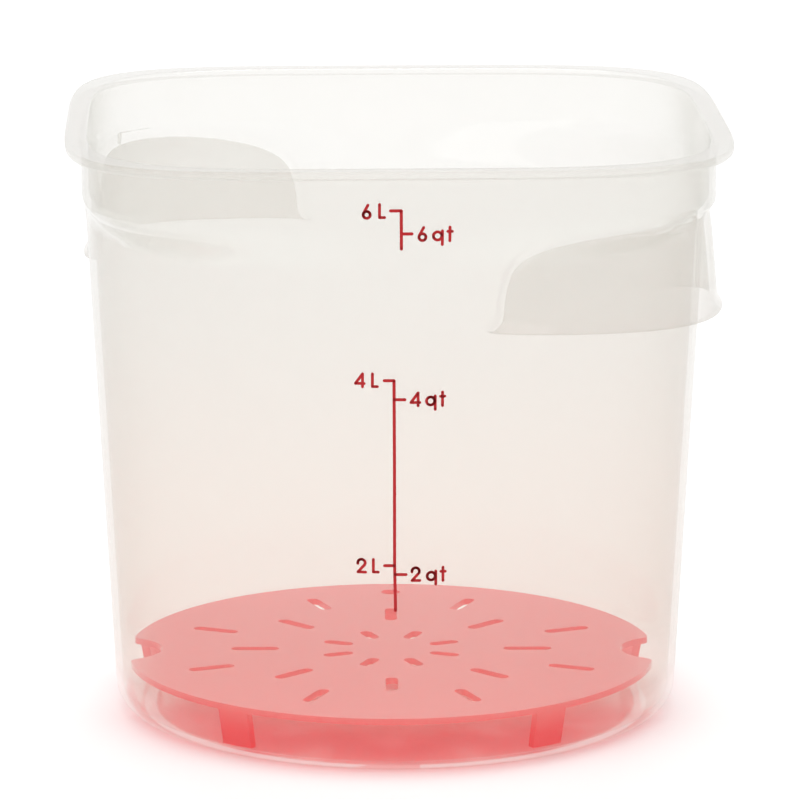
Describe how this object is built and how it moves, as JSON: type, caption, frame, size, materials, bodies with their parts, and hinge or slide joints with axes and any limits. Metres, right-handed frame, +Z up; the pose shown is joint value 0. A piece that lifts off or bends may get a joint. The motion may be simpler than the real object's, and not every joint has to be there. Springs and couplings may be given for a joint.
{
  "type": "food storage container",
  "caption": "Round translucent food storage container with a rounded-square rim, hollow corner handles and a loose slotted drain shelf inside.",
  "frame": {"origin": "centre of the base, on the plane that the container stands on", "axes": "+Z up out of the mouth, -Y towards the printed measuring scale, with the handles on the -45 and 135 degree corners of the rim"},
  "size_m": [0.2268, 0.2268, 0.2089],
  "materials": {
    "natural_polypropylene": "translucent natural polypropylene, smooth moulded, soft sheen",
    "red_polypropylene": "translucent red polypropylene, smooth moulded",
    "red_ink": "printed dark red scale on the front wall"
  },
  "bodies": {
    "container": {"container": "natural_polypropylene"},
    "drain_shelf": {"drain_shelf": "red_polypropylene"}
  },
  "joints": [
    {"name": "shelf_lift", "type": "slide", "parent": "container", "child": "drain_shelf", "axis": [0, 0, 1], "range_m": [0, 0.22]}
  ]
}
